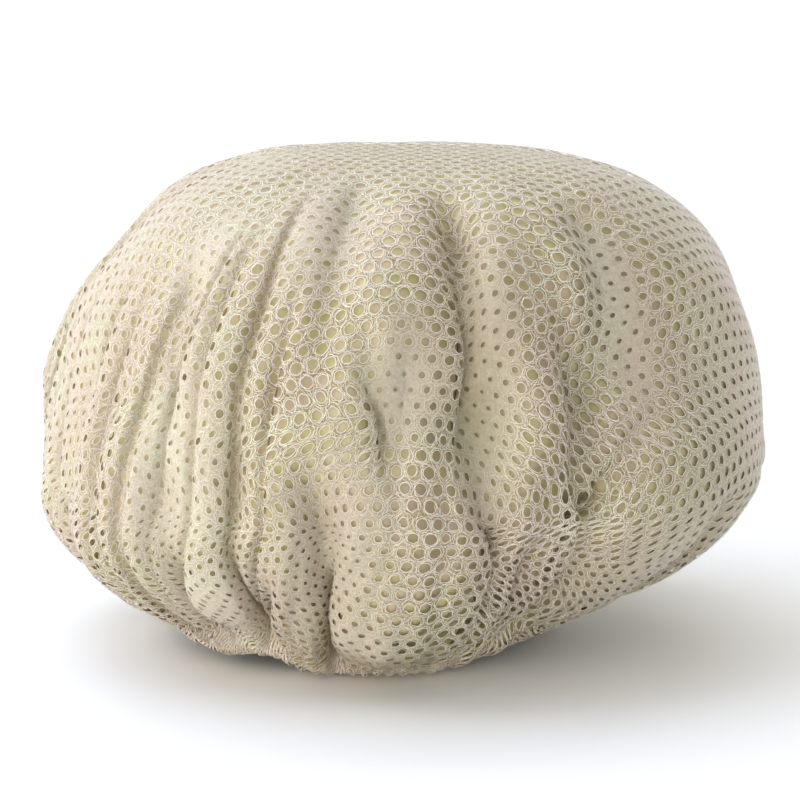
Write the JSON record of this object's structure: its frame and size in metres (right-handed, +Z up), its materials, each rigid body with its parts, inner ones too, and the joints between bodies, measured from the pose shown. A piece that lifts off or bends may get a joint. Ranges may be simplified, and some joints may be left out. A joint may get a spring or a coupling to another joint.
{
  "type": "shower cap",
  "caption": "Full net shower cap over a smooth lining, gathered in soft folds into an elastic hem round its open underside.",
  "frame": {"origin": "middle of the cap's bounding box, on the floor that its hem rests on", "axes": "+X to the cap's right as seen from the front, along its widest way, -Y towards the front, +Z up from the head opening to the crown"},
  "size_m": [0.2696, 0.2376, 0.1797],
  "materials": {
    "net_yarn": "soft cream knitted yarn",
    "lining_cloth": "smooth olive-beige",
    "hem_elastic": "puckered cream elastic"
  },
  "bodies": {
    "root": {"net_cover": "net_yarn", "lining": "lining_cloth", "elastic_band": "hem_elastic"}
  },
  "joints": []
}
